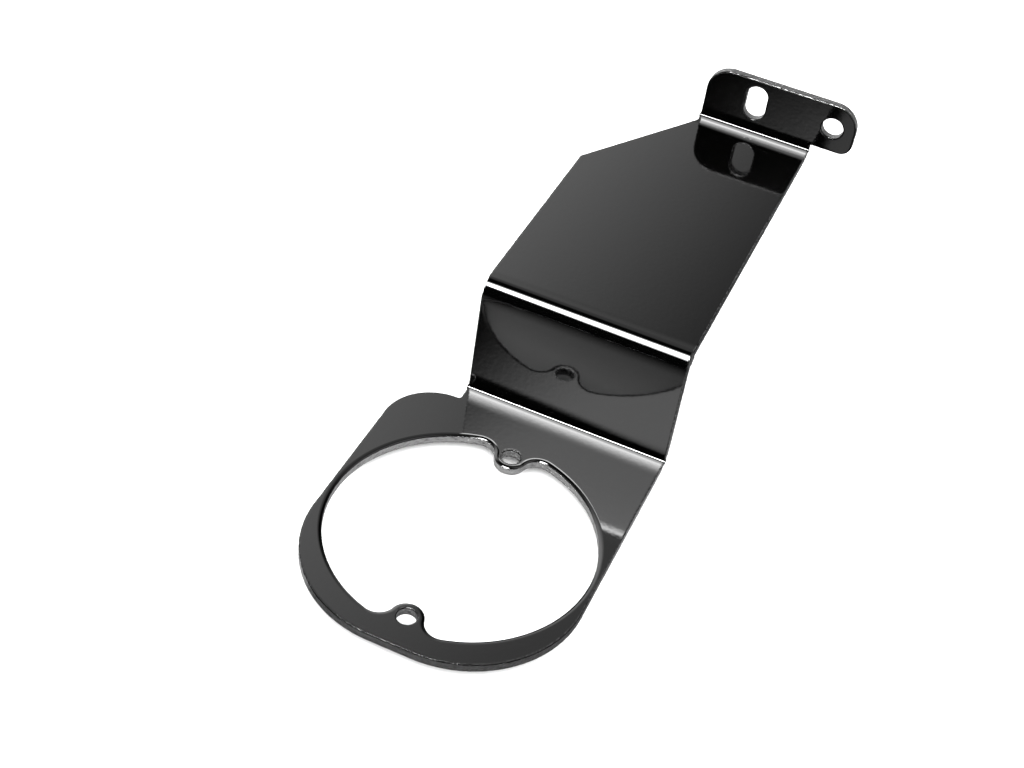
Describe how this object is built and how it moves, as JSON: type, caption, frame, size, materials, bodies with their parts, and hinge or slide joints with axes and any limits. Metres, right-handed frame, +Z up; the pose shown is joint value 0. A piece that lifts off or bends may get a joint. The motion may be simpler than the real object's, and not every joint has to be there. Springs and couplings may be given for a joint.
{
  "type": "indicator lamp bracket",
  "caption": "Folded sheet bracket that holds a round indicator lamp in a ring with two inward screw ears, a step below a long arm with an upright bolt-on flange.",
  "frame": {"origin": "centre of the lamp opening, on the upper face of the ring plate", "axes": "+X along the three folds, +Y from the ring to the flange, +Z up out of the ring plate, the way the riser goes"},
  "size_m": [0.093, 0.2209, 0.0624],
  "materials": {
    "powder_coat": "gloss black powder coat on mild steel sheet"
  },
  "bodies": {
    "root": {"bracket": "powder_coat"}
  },
  "joints": []
}
